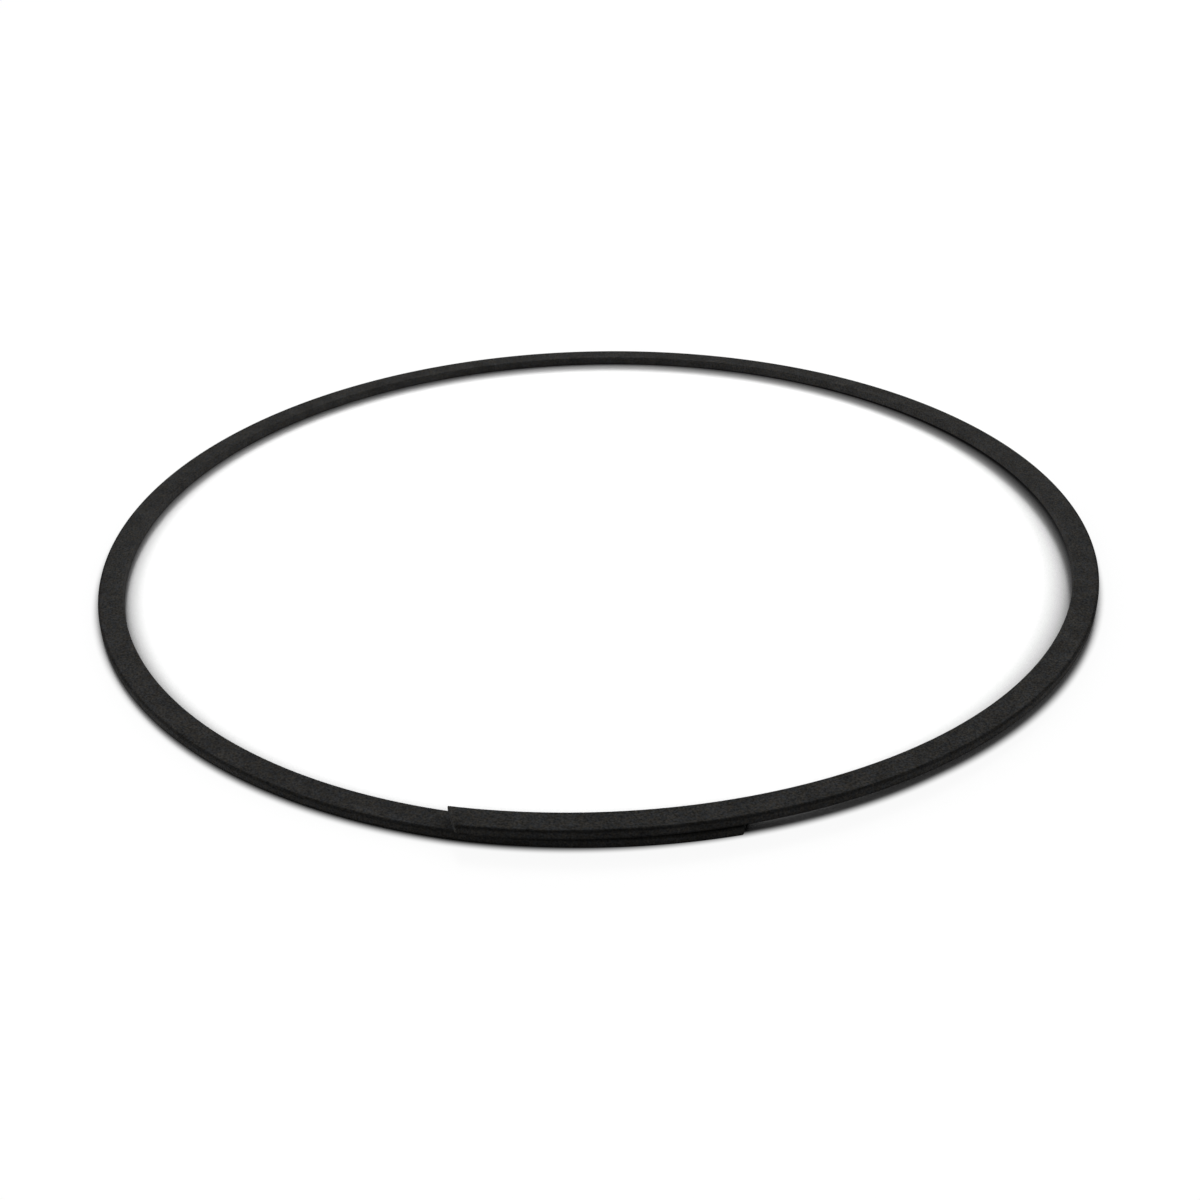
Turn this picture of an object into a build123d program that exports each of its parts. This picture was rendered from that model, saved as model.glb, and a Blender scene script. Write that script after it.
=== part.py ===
"""Snap ring: flat spring wire coiled on edge through a little over one turn.

The ring lies free. One half of the turn is flat on the surface below it. The other half climbs
from the back, so that its end laps over the first end at the front without touching it.

Lengths are in millimetres and angles in degrees. The origin is the centre of the flat half, on
its underside, with +Z up and +Y to the back of the ring, opposite the lapped ends. Angles round
the ring are counted from the back, clockwise as seen from above.
"""
import os
from math import asin, cos, degrees, radians, sin

from build123d import *

# The rolled wire's section: round outer corners, and inner ones with only their edge taken off
WIRE_WIDTH = 4.0
WIRE_THICKNESS = 1.5
OUTER_CORNER = 0.3
INNER_CHAMFER = 0.15

# The coil, and the gap that its own set leaves between the lapped ends
OUTER_RADIUS = 82.5
LOWER_END = -193.3
LAP_CLEARANCE = 0.26

# The twist at the back, where the wire leaves the flat half
TWIST_REACH = 12.0
TWIST_SECTIONS = 5

# The slack end of the upper half, coiled a little wider than the rest
SLACK_START = 150.0
SLACK_OUTER_RADIUS = 86.5
SLACK_END = 191.85

# The cut ends: sheared askew, so that the outer corner is the shorter one, and deburred
END_BEVEL = 28.0
END_EDGE = 0.2
END_OVERRUN = 1.5
CUTTER_LENGTH = 6.0

MID_RADIUS = OUTER_RADIUS - WIRE_WIDTH / 2
FOLD_ANGLE = degrees(asin((WIRE_THICKNESS + LAP_CLEARANCE) / (OUTER_RADIUS + MID_RADIUS)))
SLACK_OFFSET = OUTER_RADIUS - SLACK_OUTER_RADIUS
SLACK_CENTRE = (
    SLACK_OFFSET * sin(radians(SLACK_START)),
    SLACK_OFFSET * cos(radians(SLACK_START)),
)


def folded(location, share):
    """Swing a location up about the edge that the ring rests on at the back."""
    hinge = Pos(0, OUTER_RADIUS, 0)
    return hinge * Rot(X=-share * FOLD_ANGLE) * hinge.inverse() * location


def wire_plane(angle, share, outer_radius=OUTER_RADIUS, centre=(0, 0)):
    """Plane square to the wire on its centre line: x outward, y up, z on along the turn."""
    outward = Vector(sin(radians(angle)), cos(radians(angle)), 0)
    along = Vector(cos(radians(angle)), -sin(radians(angle)), 0)
    middle = Vector(*centre, WIRE_THICKNESS / 2) + outward * (outer_radius - WIRE_WIDTH / 2)
    return Plane(folded(Plane(middle, outward, along).location, share))


def coil_axis(share, centre=(0, 0)):
    """Axis that a stretch of the wire is coiled round."""
    seat = Plane(folded(Pos(*centre), share))
    return Axis(seat.origin, seat.z_dir)


def twist_share(angle):
    """Share of the fold taken up at an angle inside the twist, eased at both ends."""
    passed = (angle + TWIST_REACH) / (2 * TWIST_REACH)
    return passed * passed * (3 - 2 * passed)


def wire_section(plane):
    """The wire's section, drawn on a plane square to it."""
    with BuildSketch(plane) as section:
        Rectangle(WIRE_WIDTH, WIRE_THICKNESS)
        chamfer(section.vertices().group_by(Axis.X)[0], INNER_CHAMFER)
        fillet(section.vertices().group_by(Axis.X)[-1], OUTER_CORNER)
    return section.sketch


def shear_blade(plane):
    """The sketch of what a shear takes away beyond a plane, kept clear of the lapped strand."""
    with BuildSketch(plane) as blade:
        Rectangle(3 * WIRE_WIDTH, WIRE_THICKNESS + LAP_CLEARANCE)
    return blade.sketch


def cut_edges(part, plane):
    """Edges round the face that was cut on a plane."""
    return part.faces().sort_by_distance(plane.origin)[0].edges()


lower_cut = Plane(wire_plane(LOWER_END, 0).location * Rot(Y=180 - END_BEVEL))
upper_cut = Plane(
    wire_plane(SLACK_END, 1, SLACK_OUTER_RADIUS, SLACK_CENTRE).location * Rot(Y=END_BEVEL)
)

with BuildPart() as snap_ring:
    # The lower half: flat, from the twist round by the left to its end at the front right
    revolve(
        wire_section(wire_plane(-TWIST_REACH, 0)),
        axis=coil_axis(0),
        revolution_arc=END_OVERRUN - TWIST_REACH - LOWER_END,
    )
    extrude(shear_blade(lower_cut), amount=CUTTER_LENGTH, mode=Mode.SUBTRACT)
    fillet(cut_edges(snap_ring, lower_cut), END_EDGE)

    # The twist: the same section, turning as it passes the back
    angles = [TWIST_REACH * (2 * step / (TWIST_SECTIONS - 1) - 1) for step in range(TWIST_SECTIONS)]
    loft([wire_section(wire_plane(angle, twist_share(angle))) for angle in angles])

    # The upper half: coiled in the folded plane, round by the right to where it goes slack
    revolve(
        wire_section(wire_plane(TWIST_REACH, 1)),
        axis=coil_axis(1),
        revolution_arc=TWIST_REACH - SLACK_START,
    )

    # Its slack end, which laps over the lower half
    revolve(
        wire_section(wire_plane(SLACK_START, 1)),
        axis=coil_axis(1, SLACK_CENTRE),
        revolution_arc=SLACK_START - SLACK_END - END_OVERRUN,
    )
    extrude(shear_blade(upper_cut), amount=CUTTER_LENGTH, mode=Mode.SUBTRACT)
    fillet(cut_edges(snap_ring, upper_cut), END_EDGE)

snap_ring.part.label = "snap_ring"
os.makedirs("parts", exist_ok=True)
export_step(snap_ring.part, "parts/snap_ring.step")
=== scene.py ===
from math import asin, cos, degrees, pi, radians, sin, tan

import bpy
from mathutils import Matrix, Vector


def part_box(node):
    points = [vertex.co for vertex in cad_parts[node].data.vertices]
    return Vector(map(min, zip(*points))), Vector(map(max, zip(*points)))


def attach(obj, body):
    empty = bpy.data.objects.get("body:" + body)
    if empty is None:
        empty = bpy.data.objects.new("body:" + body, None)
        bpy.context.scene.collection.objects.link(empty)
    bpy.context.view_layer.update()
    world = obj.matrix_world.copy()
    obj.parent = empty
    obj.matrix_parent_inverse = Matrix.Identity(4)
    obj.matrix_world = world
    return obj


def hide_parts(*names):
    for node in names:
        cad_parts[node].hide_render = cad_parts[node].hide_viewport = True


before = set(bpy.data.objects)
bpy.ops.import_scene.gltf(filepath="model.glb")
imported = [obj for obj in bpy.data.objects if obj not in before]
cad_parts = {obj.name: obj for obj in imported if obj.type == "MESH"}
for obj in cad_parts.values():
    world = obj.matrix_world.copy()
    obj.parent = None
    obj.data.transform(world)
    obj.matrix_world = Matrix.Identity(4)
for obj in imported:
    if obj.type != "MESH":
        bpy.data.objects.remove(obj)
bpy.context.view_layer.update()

# ---------------------------------------------------------------------------------------------
# The ring. One length of flat spring wire, rolled with round outer corners, coiled on edge
# through a little over one turn, sheared askew at both ends, then hardened, black-oxidised
# and oiled. Half of the turn lies flat and the other half climbs to lap over the first end.

# The rolled wire's section, in metres
WIRE_WIDTH = 0.004
WIRE_THICKNESS = 0.0015
OUTER_CORNER = 0.0003
INNER_CORNER = 0.00024

# The coil, in degrees clockwise from the back, and what the slack end is coiled wider by
TWIST_REACH = 12.0
SLACK_START = 150.0
SLACK_EXTRA_RADIUS = 0.004
LOWER_END = -193.3
UPPER_END = 191.85

# The sheared ends: the slant of the cut and the broken edge round it
END_BEVEL = radians(28.0)
END_EDGE = 0.0002

# How finely the wire is divided: degrees of turn, steps round a corner and over a flat face
TURN_STEP = 0.75
CORNER_STEPS = 6
FACE_STEPS = 6

# Before an end the rows lean over to the slant of its cut, in steps along a run of this length
END_RUN = 0.004
END_STEPS = 8
EDGE_ROWS = 4

ring_low, ring_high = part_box("snap_ring")
outer_radius = (ring_high.x - ring_low.x) / 2
centre_radius = outer_radius - WIRE_WIDTH / 2
hinge = Vector((0, ring_high.y, ring_low.z))
fold_rise = ring_high.z - ring_low.z - WIRE_THICKNESS
fold_angle = asin(fold_rise / (ring_high.y - ring_low.y - OUTER_CORNER))
slack_angle = radians(SLACK_START)
slack_centre = -SLACK_EXTRA_RADIUS * Vector((sin(slack_angle), cos(slack_angle), 0))


def corner_arc(centre_x, centre_y, radius, start):
    """Points of a quarter round in the wire's section, turning clockwise from start."""
    angles = [start - pi / 2 * step / CORNER_STEPS for step in range(CORNER_STEPS + 1)]
    return [
        (centre_x + radius * cos(angle), centre_y + radius * sin(angle), cos(angle), sin(angle))
        for angle in angles
    ]


def wire_outline(inset=0.0):
    """The section's outline as (outward, up, normal outward, normal up), pulled in by an inset."""
    half_width = WIRE_WIDTH / 2
    half_height = WIRE_THICKNESS / 2
    outer = OUTER_CORNER
    inner = INNER_CORNER
    corners = [
        corner_arc(inner - half_width, half_height - inner, inner - inset, pi),
        corner_arc(half_width - outer, half_height - outer, outer - inset, pi / 2),
        corner_arc(half_width - outer, outer - half_height, outer - inset, 0),
        corner_arc(inner - half_width, inner - half_height, inner - inset, -pi / 2),
    ]
    # Each corner is followed by a flat face: a wide one after the first, then a narrow one, in turn
    outline = []
    for number, corner in enumerate(corners):
        outline += corner
        following = corners[(number + 1) % len(corners)][0]
        steps = FACE_STEPS if number % 2 == 0 else FACE_STEPS // 2
        for step in range(1, steps):
            share = step / steps
            across = corner[-1][0] + share * (following[0] - corner[-1][0])
            up = corner[-1][1] + share * (following[1] - corner[-1][1])
            outline.append((across, up, *corner[-1][2:]))
    return outline


def fold_share(angle):
    """How far the wire has swung up into the raised half at an angle round the turn."""
    passed = min(max((angle + TWIST_REACH) / (2 * TWIST_REACH), 0), 1)
    return passed * passed * (3 - 2 * passed)


def swing(angle):
    """The wire's turn about the hinge at an angle round the ring."""
    return Matrix.Rotation(-fold_share(angle) * fold_angle, 3, "X")


def wire_point(angle, across, up, along=0.0):
    """A point of the wire: angle round the turn, place in the section, distance on along the turn."""
    slack = angle > SLACK_START
    centre = slack_centre if slack else Vector((0, 0, 0))
    radius = centre_radius + across + (SLACK_EXTRA_RADIUS if slack else 0)
    turn = radians(angle) + along / radius
    flat = centre + Vector((radius * sin(turn), radius * cos(turn), WIRE_THICKNESS / 2 + up))
    return hinge + swing(angle) @ (flat - hinge)


def wire_direction(angle, outward, up):
    """A direction in the wire's section, turned into the ring's frame."""
    turn = radians(angle)
    flat = Vector((outward * sin(turn), outward * cos(turn), up))
    return swing(angle) @ flat


def end_rows(end_angle, towards):
    """Rows up to a sheared end and over its broken edge: points, normals and distance past the end."""
    bevel = tan(END_BEVEL)
    face_normal = Vector((sin(END_BEVEL), 0, cos(END_BEVEL)))
    outline = wire_outline()
    inset = wire_outline(END_EDGE)

    def place(across, up, back):
        return wire_point(end_angle, across, up, towards * (-across * bevel - back))

    rows = []
    for step in range(END_STEPS + 1):
        share = step / END_STEPS
        back = END_RUN + (END_EDGE - END_RUN) * share
        skew = 1 - (back - END_EDGE) / (END_RUN - END_EDGE)
        points = [
            wire_point(end_angle, across, up, towards * (-across * bevel * skew - back))
            for across, up, _, _ in outline
        ]
        normals = [wire_direction(end_angle, out, rise) for _, _, out, rise in outline]
        rows.append((points, normals, -back))
    cut_side = wire_direction(end_angle, face_normal.x, 0)
    turn = radians(end_angle)
    onward = swing(end_angle) @ Vector((cos(turn), -sin(turn), 0))
    cut_normal = (cut_side + towards * face_normal.z * onward).normalized()
    for row in range(1, EDGE_ROWS + 1):
        share = row / EDGE_ROWS
        points = []
        normals = []
        for (across, up, out, rise), (in_across, in_up, _, _) in zip(outline, inset):
            wall = place(across, up, END_EDGE)
            corner = place(across, up, 0)
            face = place(in_across, in_up, 0)
            wall_normal = wire_direction(end_angle, out, rise)
            points.append((1 - share) ** 2 * wall + 2 * share * (1 - share) * corner + share**2 * face)
            normals.append(((1 - share) * wall_normal + share * cut_normal).normalized())
        rows.append((points, normals, -END_EDGE * (1 - share)))
    return rows


def build_ring():
    """The whole wire as one closed mesh, with its own normals and its place along the wire."""
    outline = wire_outline()
    count = len(outline)
    lower_rows = end_rows(LOWER_END, -1)
    upper_rows = end_rows(UPPER_END, 1)
    first = LOWER_END + degrees(END_RUN / centre_radius)
    last = UPPER_END - degrees(END_RUN / (centre_radius + SLACK_EXTRA_RADIUS))
    steps = round((last - first) / TURN_STEP)
    angles = [first + (last - first) * step / steps for step in range(1, steps)]
    rows = [(points, normals, LOWER_END, -back) for points, normals, back in reversed(lower_rows)]
    for angle in angles:
        points = [wire_point(angle, across, up) for across, up, _, _ in outline]
        normals = [wire_direction(angle, out, rise) for _, _, out, rise in outline]
        rows.append((points, normals, angle, 0.0))
    rows += [(points, normals, UPPER_END, back) for points, normals, back in upper_rows]

    vertices = [point for points, _, _, _ in rows for point in points]
    normals = [normal for _, directions, _, _ in rows for normal in directions]
    faces = []
    for row in range(len(rows) - 1):
        for column in range(count):
            beside = (column + 1) % count
            corner = row * count
            onward = corner + count
            faces.append((corner + column, onward + column, onward + beside, corner + beside))
    sheared_from = len(faces)
    faces.append(tuple(range(count)))
    top = (len(rows) - 1) * count
    faces.append(tuple(reversed(range(top, top + count))))

    mesh = bpy.data.meshes.new("snap_ring_wire")
    mesh.from_pydata(vertices, [], faces)
    mesh.update()
    for face in mesh.polygons:
        face.use_smooth = True
        face.material_index = 1 if face.index >= sheared_from else 0
    mesh.normals_split_custom_set_from_vertices(normals)
    place = mesh.attributes.new("wire_place", "FLOAT_VECTOR", "POINT")
    for number, (_, _, angle, ahead) in enumerate(rows):
        along = radians(angle) * centre_radius + ahead
        for column, (across, up, _, _) in enumerate(outline):
            place.data[number * count + column].vector = (along, across, up)
    return mesh


ring_mesh = build_ring()

# The finish: a fine-grained black oxide with the lines of the rolled wire just showing. Its black
# drifts between a bluer and a browner one, and is a little deeper where the wire was sheared.
FINISH_BLUE_BLACK = (0.0248, 0.0262, 0.0279, 1)
FINISH_BROWN_BLACK = (0.0303, 0.0280, 0.0245, 1)
SHEARED_BLUE_BLACK = (0.0195, 0.0210, 0.0235, 1)
SHEARED_BROWN_BLACK = (0.0270, 0.0245, 0.0210, 1)
GRAINS_PER_METRE = 3600.0
MOTTLES_PER_METRE = 2100.0
CLOUDS_PER_METRE = 330.0

# Painted shade along the outer corners, standing in for the dark look of the rounded edge: from full
# shade to none
PAINTED_CORNER_SHADE_NEAR = 0.6 * OUTER_CORNER
PAINTED_CORNER_SHADE_FAR = 1.7 * OUTER_CORNER
PAINTED_CORNER_SHADE_DEPTH = 0.58

# The drawn-out lines, per metre along the wire, across it and up it, and their share in the height
ROLLED_LINES = (220.0, 6500.0, 6500.0)
SHEARED_LINES = (6500.0, 6500.0, 420.0)
LINES_IN_HEIGHT = 0.45
FINISH_RELIEF = 0.00002
ROLLED_RELIEF_SHARE = 0.6
SHEARED_RELIEF_SHARE = 0.9

# The span of noise that each effect uses, and what it is spread over
NOISE_SPAN = (0.3, 0.7)
TINT_NOISE_SPAN = (0.35, 0.65)
GRAIN_SHADES = (0.42, 1.58)
CLOUD_SHADES = (0.84, 1.16)
ROUGHNESS_SPAN = (0.68, 0.82)


def feed(tree, value, socket):
    """Link another node's output to a socket, or set the socket to a plain value."""
    if isinstance(value, bpy.types.NodeSocket):
        tree.links.new(value, socket)
    else:
        socket.default_value = value


def maths(tree, operation, *values):
    """The output of a Math node on outputs and plain numbers."""
    node = tree.nodes.new("ShaderNodeMath")
    node.operation = operation
    for value, socket in zip(values, node.inputs):
        feed(tree, value, socket)
    return node.outputs["Value"]


def vector_maths(tree, operation, *values):
    """The output of a Vector Math node: a number for a length or a dot product, else a vector."""
    node = tree.nodes.new("ShaderNodeVectorMath")
    node.operation = operation
    for value, socket in zip(values, node.inputs):
        feed(tree, value, socket)
    return node.outputs["Value" if operation in ("LENGTH", "DOT_PRODUCT") else "Vector"]


def spread(tree, value, span, onto=(0.0, 1.0), curve="LINEAR"):
    """The output of a Map Range node that spreads a span of values onto another, and stops there."""
    node = tree.nodes.new("ShaderNodeMapRange")
    node.interpolation_type = curve
    names = ("From Min", "From Max", "To Min", "To Max")
    for name, number in zip(names, (*span, *onto)):
        node.inputs[name].default_value = number
    tree.links.new(value, node.inputs["Value"])
    return node.outputs["Result"]


def oxide_group():
    """Shader group shared by the rolled and the sheared faces: grain, lines and cloudy patches."""
    group = bpy.data.node_groups.new("oxide_grain", "ShaderNodeTree")
    for name, kind in (("Place", "NodeSocketVector"), ("Lines", "NodeSocketVector")):
        group.interface.new_socket(name, in_out="INPUT", socket_type=kind)
    for name in ("Grain scale", "Mottle scale", "Cloud scale"):
        group.interface.new_socket(name, in_out="INPUT", socket_type="NodeSocketFloat")
    for name in ("Grain", "Streaks", "Mottle", "Clouds", "Height"):
        group.interface.new_socket(name, in_out="OUTPUT", socket_type="NodeSocketFloat")
    source = group.nodes.new("NodeGroupInput")
    result = group.nodes.new("NodeGroupOutput")
    place = source.outputs["Place"]

    def noise(vector, scale, detail, roughness):
        node = group.nodes.new("ShaderNodeTexNoise")
        feed(group, vector, node.inputs["Vector"])
        feed(group, scale, node.inputs["Scale"])
        feed(group, detail, node.inputs["Detail"])
        feed(group, roughness, node.inputs["Roughness"])
        return node.outputs["Fac"]

    stretched = vector_maths(group, "MULTIPLY", place, source.outputs["Lines"])
    grain = noise(place, source.outputs["Grain scale"], detail=3.0, roughness=0.6)
    streaks = noise(stretched, 1.0, detail=2.0, roughness=0.5)
    mottle = noise(place, source.outputs["Mottle scale"], detail=2.0, roughness=0.5)
    clouds = noise(place, source.outputs["Cloud scale"], detail=3.0, roughness=0.5)
    height = maths(group, "MULTIPLY_ADD", streaks, LINES_IN_HEIGHT, grain)
    group.links.new(grain, result.inputs["Grain"])
    group.links.new(streaks, result.inputs["Streaks"])
    group.links.new(mottle, result.inputs["Mottle"])
    group.links.new(clouds, result.inputs["Clouds"])
    group.links.new(height, result.inputs["Height"])
    return group


oxide_grain = oxide_group()


def finish_material(name, blue_black, brown_black, lines, relief_share):
    """An oiled black-oxide surface with its own pair of blacks and its own lines."""
    material = bpy.data.materials.new(name)
    material.use_nodes = True
    tree = material.node_tree
    shader = tree.nodes["Principled BSDF"]
    shader.inputs["Metallic"].default_value = 0.0
    shader.inputs["IOR"].default_value = 1.5
    shader.inputs["Specular IOR Level"].default_value = 0.0

    attribute = tree.nodes.new("ShaderNodeAttribute")
    attribute.attribute_name = "wire_place"
    place = attribute.outputs["Vector"]
    texture = tree.nodes.new("ShaderNodeGroup")
    texture.node_tree = oxide_grain
    tree.links.new(place, texture.inputs["Place"])
    texture.inputs["Lines"].default_value = lines
    texture.inputs["Grain scale"].default_value = GRAINS_PER_METRE
    texture.inputs["Mottle scale"].default_value = MOTTLES_PER_METRE
    texture.inputs["Cloud scale"].default_value = CLOUDS_PER_METRE

    # The mottle mixes the two blacks, and the grain and the clouds shade them
    tint = tree.nodes.new("ShaderNodeMix")
    tint.data_type = "RGBA"
    tint_share = spread(tree, texture.outputs["Mottle"], TINT_NOISE_SPAN)
    tree.links.new(tint_share, tint.inputs["Factor"])
    tint.inputs["A"].default_value = blue_black
    tint.inputs["B"].default_value = brown_black
    speckle = spread(tree, texture.outputs["Grain"], NOISE_SPAN, GRAIN_SHADES)
    patches = spread(tree, texture.outputs["Clouds"], NOISE_SPAN, CLOUD_SHADES)
    depth = maths(tree, "MULTIPLY", speckle, patches)

    # Painted shade makes the outer corners darkest: the lower half of the section is turned over onto
    # the upper one, so that one measure tells how near a place is to either corner
    turned_over = vector_maths(tree, "MULTIPLY", place, (1, 1, -1))
    upper_half = vector_maths(tree, "MAXIMUM", place, turned_over)
    to_corner = vector_maths(tree, "DOT_PRODUCT", upper_half, (0, 1, 1))
    at_corner = (WIRE_WIDTH + WIRE_THICKNESS) / 2
    painted_shade_span = (at_corner - PAINTED_CORNER_SHADE_FAR, at_corner - PAINTED_CORNER_SHADE_NEAR)
    painted_corner_shade = spread(tree, to_corner, painted_shade_span, (1.0, PAINTED_CORNER_SHADE_DEPTH), "SMOOTHSTEP")
    shade = maths(tree, "MULTIPLY", depth, painted_corner_shade)
    colour = tree.nodes.new("ShaderNodeVectorMath")
    colour.operation = "SCALE"
    tree.links.new(tint.outputs["Result"], colour.inputs[0])
    tree.links.new(shade, colour.inputs["Scale"])
    tree.links.new(colour.outputs["Vector"], shader.inputs["Base Color"])

    roughness = spread(tree, texture.outputs["Streaks"], NOISE_SPAN, ROUGHNESS_SPAN)
    tree.links.new(roughness, shader.inputs["Roughness"])

    bump = tree.nodes.new("ShaderNodeBump")
    bump.inputs["Strength"].default_value = relief_share
    bump.inputs["Distance"].default_value = FINISH_RELIEF
    tree.links.new(texture.outputs["Height"], bump.inputs["Height"])
    tree.links.new(bump.outputs["Normal"], shader.inputs["Normal"])
    return material


rolled_finish = finish_material(
    "blackened_rolled_faces",
    FINISH_BLUE_BLACK,
    FINISH_BROWN_BLACK,
    ROLLED_LINES,
    ROLLED_RELIEF_SHARE,
)
sheared_finish = finish_material(
    "blackened_sheared_ends",
    SHEARED_BLUE_BLACK,
    SHEARED_BROWN_BLACK,
    SHEARED_LINES,
    SHEARED_RELIEF_SHARE,
)
ring_mesh.materials.append(rolled_finish)
ring_mesh.materials.append(sheared_finish)

ring = bpy.data.objects.new("snap_ring_blackened", ring_mesh)
bpy.context.scene.collection.objects.link(ring)
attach(ring, "root")
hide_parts("snap_ring")

# ---------------------------------------------------------------------------------------------
# The table that the ring lies on: a plain white satin sheet, which isn't part of the ring. It looks
# white wherever it is seen, mirrors the wire softly, and keeps its shadow, cast by the lamps and
# deepened with painted shadow close to the wire, full inside the coil and faint outside it.
FLOOR_HALF_SIDE = 3.0

# Its white as it lights the ring and as it is seen, and the share and blur of its sheen
FLOOR_WHITE = 0.85
FLOOR_WHITE_SEEN = 1.18
SHEEN_SHARE = 0.6
SHEEN_ROUGHNESS = 0.24

# The painted shadow close to the wire: how far it reaches and how steeply it deepens
CONTACT_REACH = 0.006
CONTACT_DEPTH = 2.2
CONTACT_SAMPLES = 8

# The shadow fades out along a band just outside the coil: how much of it goes, the band's half
# width, and its distance from the coil on the flat side and on the raised side
OUTSIDE_FADE = 0.94
FADE_HALF_WIDTH = 0.0008
FADE_OFFSET_FLAT_SIDE = 0.0007
FADE_OFFSET_RAISED_SIDE = -0.0001
FADE_OFFSET_REACH = 0.02

# Far to the right the band moves out again
FADE_OFFSET_FAR_RIGHT = 0.0007
FAR_RIGHT_FROM = 0.045
FAR_RIGHT_TO = 0.075


def light_path_seen(tree):
    """Two masks: for rays from the camera, off metal and through glass, and for camera rays alone."""
    ray = tree.nodes.new("ShaderNodeLightPath")
    camera_ray = ray.outputs["Is Camera Ray"]
    seen = camera_ray
    for name in ("Is Glossy Ray", "Is Transmission Ray"):
        seen = maths(tree, "MAXIMUM", seen, ray.outputs[name])
    return seen, camera_ray


floor_corners = [
    (side * FLOOR_HALF_SIDE, depth * FLOOR_HALF_SIDE, ring_low.z)
    for side, depth in ((-1, -1), (1, -1), (1, 1), (-1, 1))
]
floor_mesh = bpy.data.meshes.new("table_top")
floor_mesh.from_pydata(floor_corners, [], [(0, 1, 2, 3)])
floor_material = bpy.data.materials.new("white_table")
floor_material.use_nodes = True
floor_tree = floor_material.node_tree
floor_nodes = floor_tree.nodes
floor_links = floor_tree.links
floor_nodes.clear()
floor_seen, floor_camera_ray = light_path_seen(floor_tree)

# Painted shadow: the table's colour, and its sheen's, darken where the wire closes the table off from
# the room
contact = floor_nodes.new("ShaderNodeAmbientOcclusion")
contact.samples = CONTACT_SAMPLES
contact.inputs["Distance"].default_value = CONTACT_REACH
painted_contact_shadow = maths(floor_tree, "POWER", contact.outputs["AO"], CONTACT_DEPTH)
white_with_painted_shadow = maths(floor_tree, "MULTIPLY", painted_contact_shadow, FLOOR_WHITE_SEEN)
floor_colour = floor_nodes.new("ShaderNodeMix")
floor_colour.data_type = "RGBA"
floor_colour.inputs["A"].default_value = (FLOOR_WHITE, FLOOR_WHITE, FLOOR_WHITE, 1)
floor_links.new(white_with_painted_shadow, floor_colour.inputs["B"])
floor_links.new(floor_seen, floor_colour.inputs["Factor"])
floor_matt = floor_nodes.new("ShaderNodeBsdfDiffuse")
floor_links.new(floor_colour.outputs["Result"], floor_matt.inputs["Color"])

# The sheet's satin face mirrors the dark wire softly beside it
floor_sheen = floor_nodes.new("ShaderNodeBsdfAnisotropic")
floor_sheen.inputs["Roughness"].default_value = SHEEN_ROUGHNESS
floor_links.new(white_with_painted_shadow, floor_sheen.inputs["Color"])
sheen_seen = maths(floor_tree, "MULTIPLY", floor_camera_ray, SHEEN_SHARE)
floor_face = floor_nodes.new("ShaderNodeMixShader")
floor_links.new(sheen_seen, floor_face.inputs["Fac"])
floor_links.new(floor_matt.outputs["BSDF"], floor_face.inputs[1])
floor_links.new(floor_sheen.outputs["BSDF"], floor_face.inputs[2])

# How far a place on the table is outside the band's middle, and the fade of the shadow there
floor_place = floor_nodes.new("ShaderNodeNewGeometry")
floor_split = floor_nodes.new("ShaderNodeSeparateXYZ")
floor_links.new(floor_place.outputs["Position"], floor_split.inputs["Vector"])
floor_flat = vector_maths(floor_tree, "MULTIPLY", floor_place.outputs["Position"], (1, 1, 0))
floor_radius = vector_maths(floor_tree, "LENGTH", floor_flat)
fade_offset = spread(
    floor_tree,
    floor_split.outputs["X"],
    (-FADE_OFFSET_REACH, FADE_OFFSET_REACH),
    (outer_radius + FADE_OFFSET_FLAT_SIDE, outer_radius + FADE_OFFSET_RAISED_SIDE),
)
far_right = spread(
    floor_tree,
    floor_split.outputs["X"],
    (FAR_RIGHT_FROM, FAR_RIGHT_TO),
    (0.0, FADE_OFFSET_FAR_RIGHT),
)
fade_radius = maths(floor_tree, "ADD", fade_offset, far_right)
outside_by = maths(floor_tree, "SUBTRACT", floor_radius, fade_radius)
fade = spread(
    floor_tree,
    outside_by,
    (-FADE_HALF_WIDTH, FADE_HALF_WIDTH),
    (0.0, OUTSIDE_FADE),
    "SMOOTHSTEP",
)
fade_seen = maths(floor_tree, "MULTIPLY", fade, floor_camera_ray)
floor_white = floor_nodes.new("ShaderNodeEmission")
floor_white.inputs["Strength"].default_value = 1.0
floor_mix = floor_nodes.new("ShaderNodeMixShader")
floor_links.new(fade_seen, floor_mix.inputs["Fac"])
floor_links.new(floor_face.outputs["Shader"], floor_mix.inputs[1])
floor_links.new(floor_white.outputs["Emission"], floor_mix.inputs[2])
floor_output = floor_nodes.new("ShaderNodeOutputMaterial")
floor_links.new(floor_mix.outputs["Shader"], floor_output.inputs["Surface"])
floor_mesh.materials.append(floor_material)
floor = bpy.data.objects.new("table_top", floor_mesh)
bpy.context.scene.collection.objects.link(floor)

# ---------------------------------------------------------------------------------------------
# The light: a dim pale room that looks white past the table and in the table's sheen, and three
# low soft boxes close to the ring, one behind it and one at each side.
AMBIENT_LEVEL = 0.25
BOX_ELEVATION = 20
BOX_DISTANCE = 0.6
BOX_SIDE = 0.22

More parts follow.
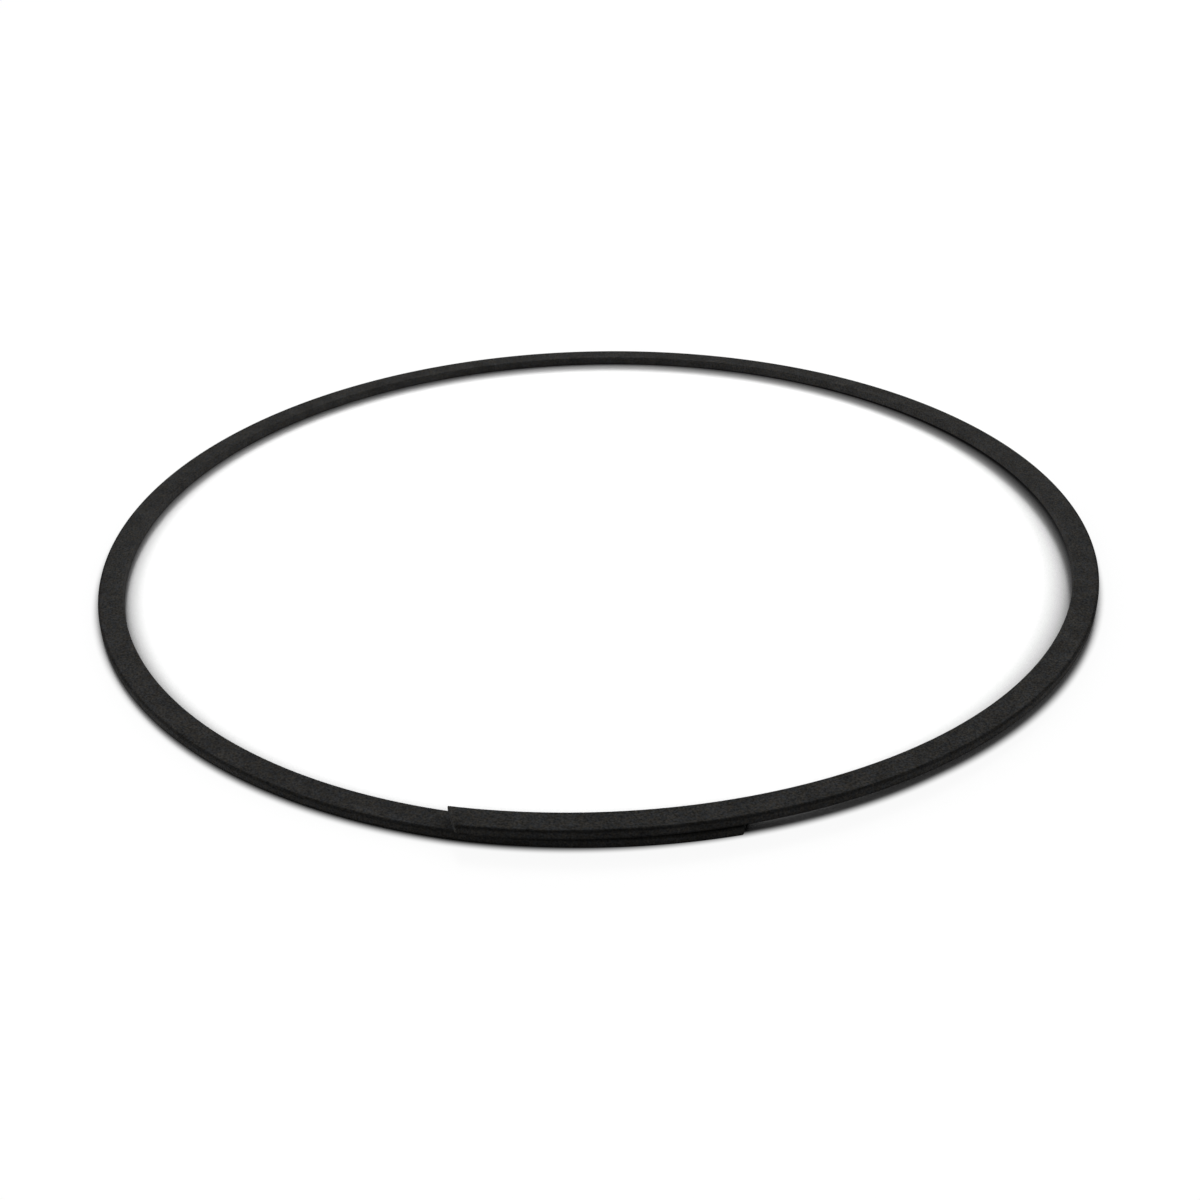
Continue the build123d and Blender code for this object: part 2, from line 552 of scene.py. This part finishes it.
world = bpy.data.worlds.new("pale_room")
bpy.context.scene.world = world
world.use_nodes = True
world_nodes = world.node_tree.nodes
world_links = world.node_tree.links
world_nodes.clear()
world_output = world_nodes.new("ShaderNodeOutputWorld")
room = world_nodes.new("ShaderNodeBackground")
room.inputs["Color"].default_value = (1, 1, 1, 1)
room.inputs["Strength"].default_value = AMBIENT_LEVEL
white = world_nodes.new("ShaderNodeBackground")
white.inputs["Color"].default_value = (1, 1, 1, 1)
white.inputs["Strength"].default_value = 1.0
world_mix = world_nodes.new("ShaderNodeMixShader")
world_seen, _ = light_path_seen(world.node_tree)
world_links.new(world_seen, world_mix.inputs["Fac"])
world_links.new(room.outputs["Background"], world_mix.inputs[1])
world_links.new(white.outputs["Background"], world_mix.inputs[2])
world_links.new(world_mix.outputs["Shader"], world_output.inputs["Surface"])


def soft_box(name, azimuth, watts):
    """A square area lamp aimed at the ring; azimuth 0 is behind it and turns towards +X."""
    lamp = bpy.data.lights.new(name, "AREA")
    lamp.shape = "SQUARE"
    lamp.size = BOX_SIDE
    lamp.energy = watts
    box = bpy.data.objects.new(name, lamp)
    turn = radians(azimuth)
    rise = radians(BOX_ELEVATION)
    place = Vector((sin(turn) * cos(rise), cos(turn) * cos(rise), sin(rise))) * BOX_DISTANCE
    box.location = place
    box.rotation_euler = (-place).to_track_quat("-Z", "Y").to_euler()
    # The table's sheen mirrors the ring and the room, and not the lamp
    box.visible_glossy = False
    bpy.context.scene.collection.objects.link(box)


soft_box("back_soft_box", azimuth=15, watts=2.66)
soft_box("left_soft_box", azimuth=-78, watts=3.35)
soft_box("right_soft_box", azimuth=80, watts=2.42)

# ---------------------------------------------------------------------------------------------
# The camera: a normal lens close above the front of the ring, looking down across it.
CAMERA_LENS = 47.85
CAMERA_DISTANCE = 0.25543
CAMERA_ELEVATION = radians(30.545)
CAMERA_AZIMUTH = radians(0.0713)
CAMERA_ROLL = radians(1.116)
AIM_FORWARD = 0.02051
AIM_RIGHT = 0.00027
NEAREST_SEEN = 0.01
FURTHEST_SEEN = 20

camera_data = bpy.data.cameras.new("camera")
camera_data.lens = CAMERA_LENS
camera_data.clip_start = NEAREST_SEEN
camera_data.clip_end = FURTHEST_SEEN
camera = bpy.data.objects.new("camera", camera_data)
aim = Vector((AIM_RIGHT, -AIM_FORWARD, ring_low.z))
level = cos(CAMERA_ELEVATION)
back = Vector((-sin(CAMERA_AZIMUTH) * level, -cos(CAMERA_AZIMUTH) * level, sin(CAMERA_ELEVATION)))
camera.location = aim + CAMERA_DISTANCE * back
camera.rotation_euler = (
    (-back).to_track_quat("-Z", "Y").to_matrix() @ Matrix.Rotation(-CAMERA_ROLL, 3, "Z")
).to_euler()
bpy.context.scene.collection.objects.link(camera)
bpy.context.scene.camera = camera

bpy.context.scene.view_settings.view_transform = "Standard"

# ---------------------------------------------------------------------------------------------
# Bring the scene up to date
bpy.context.view_layer.update()
